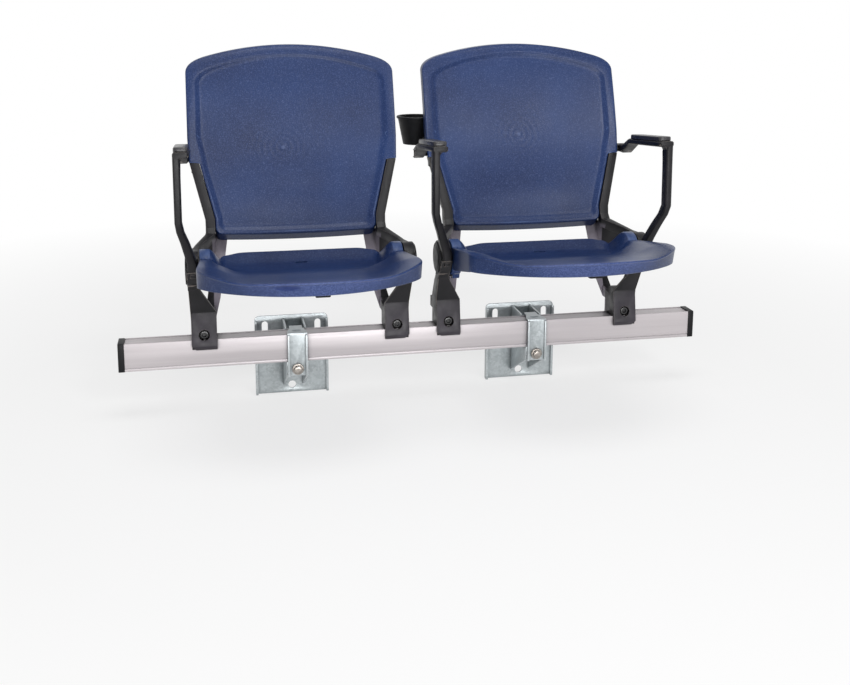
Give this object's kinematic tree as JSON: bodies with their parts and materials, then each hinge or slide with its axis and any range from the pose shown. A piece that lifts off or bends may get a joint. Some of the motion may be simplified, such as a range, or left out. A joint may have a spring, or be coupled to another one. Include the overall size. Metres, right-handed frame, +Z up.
{
  "type": "beam_mounted_stadium_seat",
  "caption": "Blue moulded tip-up stadium seats on an aluminium beam, with black cast standards, armrests, a cup holder and galvanised wall brackets.",
  "frame": {"origin": "middle of the rear face of the left wall plate", "axes": "+X along the beam to the right as the sitter is seen, +Y back into the wall, +Z up"},
  "size_m": [1.2406, 0.593, 0.752],
  "materials": {
    "seat_polymer": "fine leather grain, satin, moulded in colour",
    "cast_black": "satin black powder coat over an as-cast surface",
    "moulded_black": "fine sparked texture, satin",
    "pad_black": "fine grained, soft satin",
    "rubber_black": "dull",
    "bolt_black": "black oxide, lightly oiled",
    "beam_aluminium": "extruded, satin, faint lines along the length",
    "zinc_plate": "hot-dip galvanised, faint spangle",
    "bolt_steel": "plated, dull grey",
    "bush_polymer": "natural acetal, satin"
  },
  "bodies": {
    "frame": {"beam": "beam_aluminium", "end_cap_left": "moulded_black", "end_cap_right": "moulded_black", "standard_1": "cast_black", "foot_clamp_1": "cast_black", "foot_bolt_1": "bolt_black", "hinge_pin_1": "bolt_steel", "hub_cap_1": "moulded_black", "stop_buffer_1": "rubber_black", "back_screw_1": "bolt_steel", "standard_2": "cast_black", "foot_clamp_2": "cast_black", "foot_bolt_2": "bolt_black", "hinge_pin_2": "bolt_steel", "hub_cap_2": "moulded_black", "stop_buffer_2": "rubber_black", "back_screw_2": "bolt_steel", "standard_3": "cast_black", "foot_clamp_3": "cast_black", "foot_bolt_3": "bolt_black", "hinge_pin_3": "bolt_steel", "hub_cap_3": "moulded_black", "stop_buffer_3": "rubber_black", "back_screw_3": "bolt_steel", "standard_4": "cast_black", "foot_clamp_4": "cast_black", "foot_bolt_4": "bolt_black", "hinge_pin_4": "bolt_steel", "hub_cap_4": "moulded_black", "stop_buffer_4": "rubber_black", "back_screw_4": "bolt_steel", "armrest_1": "cast_black", "arm_pad_1": "pad_black", "armrest_3": "cast_black", "arm_pad_3": "pad_black", "armrest_4": "cast_black", "arm_pad_4": "pad_black", "seat_back_left": "seat_polymer", "wall_plate_left": "zinc_plate", "riser_arm_left": "zinc_plate", "beam_strap_left": "zinc_plate", "strap_bolt_left": "bolt_steel", "strap_nut_left": "bolt_steel", "seat_back_right": "seat_polymer", "wall_plate_right": "zinc_plate", "riser_arm_right": "zinc_plate", "beam_strap_right": "zinc_plate", "strap_bolt_right": "bolt_steel", "strap_nut_right": "bolt_steel", "cup_holder": "moulded_black", "cup_arm": "moulded_black"},
    "pan_left": {"seat_pan_left": "seat_polymer", "pan_bumper_left": "rubber_black", "hinge_bush_1": "bush_polymer", "hinge_bush_2": "bush_polymer"},
    "pan_right": {"seat_pan_right": "seat_polymer", "pan_bumper_right": "rubber_black", "hinge_bush_3": "bush_polymer", "hinge_bush_4": "bush_polymer"}
  },
  "joints": [
    {"name": "tip_left", "type": "hinge", "parent": "frame", "child": "pan_left", "pos_m": [0.014, -0.14, 0.2335], "axis": [-1, 0, 0], "range_deg": [0, 78]},
    {"name": "tip_right", "type": "hinge", "parent": "frame", "child": "pan_right", "pos_m": [0.522, -0.14, 0.2335], "axis": [-1, 0, 0], "range_deg": [0, 76]}
  ]
}
